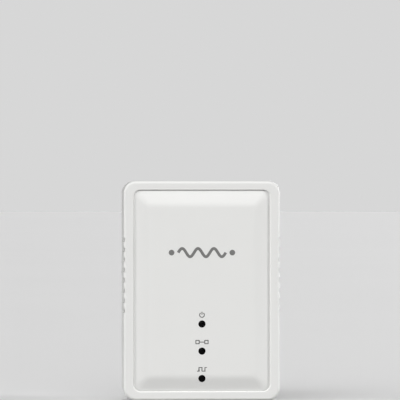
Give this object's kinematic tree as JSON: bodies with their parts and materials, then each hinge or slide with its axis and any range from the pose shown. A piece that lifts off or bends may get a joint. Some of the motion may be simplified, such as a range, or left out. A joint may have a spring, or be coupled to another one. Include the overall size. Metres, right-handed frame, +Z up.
{
  "type": "powerline adapter",
  "caption": "Upright plastic wall-plug network adapter with two flat blades, a raised rim round a pillowed front panel, round lamp windows, side vents and a network socket below.",
  "frame": {"origin": "on the flat rear face, midway between the two plug blades", "axes": "+Y out of the rear face along the blades, towards the wall outlet; +Z up, as plugged in; +X to the right as seen from the front"},
  "size_m": [0.0472, 0.0454, 0.0673],
  "materials": {
    "casing": "moulded, fine satin texture",
    "button": "moulded, satin",
    "lens": "smoked, polished",
    "label": "coated",
    "plating": "nickel plated",
    "steel": "zinc plated",
    "board": "solder resist",
    "film": "translucent film",
    "package": "moulded epoxy",
    "socket": "moulded",
    "gold": "gold plated",
    "ferrite": "sintered",
    "copper": "enamelled copper wire",
    "tape": "polyester tape",
    "sleeve": "shrink sleeve",
    "blue_coating": "dipped epoxy",
    "film_capacitor": "moulded box",
    "fuse": "moulded",
    "aluminium": "extruded",
    "pad": "silicone",
    "lamp": "moulded"
  },
  "bodies": {
    "root": {"blade_line": "plating", "blade_neutral": "plating", "board_header": "socket", "board_screw_left": "steel", "board_screw_right": "steel", "bridge_rectifier": "package", "bulk_capacitor_lower": "sleeve", "bulk_capacitor_upper": "sleeve", "case_screw_left": "steel", "case_screw_right": "steel", "choke_coil_left": "copper", "choke_coil_right": "copper", "choke_core": "ferrite", "coupling_capacitor": "film_capacitor", "coupling_transformer": "ferrite", "crystal": "steel", "flash_chip": "package", "front_shell": "casing", "heat_sink": "aluminium", "inlet_fuse": "fuse", "insulating_sheet": "film", "interference_capacitor": "film_capacitor", "jack_contact_1": "gold", "jack_contact_2": "gold", "jack_contact_3": "gold", "jack_contact_4": "gold", "jack_contact_5": "gold", "jack_contact_6": "gold", "jack_contact_7": "gold", "jack_contact_8": "gold", "jack_housing": "socket", "lamp_lower": "lamp", "lamp_middle": "lamp", "lamp_upper": "lamp", "light_pipe_lower": "lens", "light_pipe_middle": "lens", "light_pipe_upper": "lens", "line_magnetics": "package", "logic_board": "board", "memory_chip": "package", "network_chip": "package", "output_capacitor": "sleeve", "output_diode": "package", "pair_switch": "socket", "power_board": "board", "powerline_chip": "package", "rear_label": "label", "rear_shell": "casing", "reset_switch": "socket", "safety_capacitor": "blue_coating", "supply_controller": "package", "thermal_pad": "pad", "transformer_bobbin": "tape", "transformer_core": "ferrite", "varistor": "blue_coating"},
    "pair_push": {"pair_button": "button", "pair_plunger": "socket"},
    "reset_push": {"reset_plunger": "socket"}
  },
  "joints": [
    {"name": "pair_press", "type": "slide", "parent": "root", "child": "pair_push", "axis": [0, 0, 1], "range_m": [0, 0.0005], "stiffness_N_per_m": 600, "springref_m": -0.0005},
    {"name": "reset_press", "type": "slide", "parent": "root", "child": "reset_push", "axis": [0, 0, 1], "range_m": [0, 0.0004], "stiffness_N_per_m": 600, "springref_m": -0.0005}
  ]
}
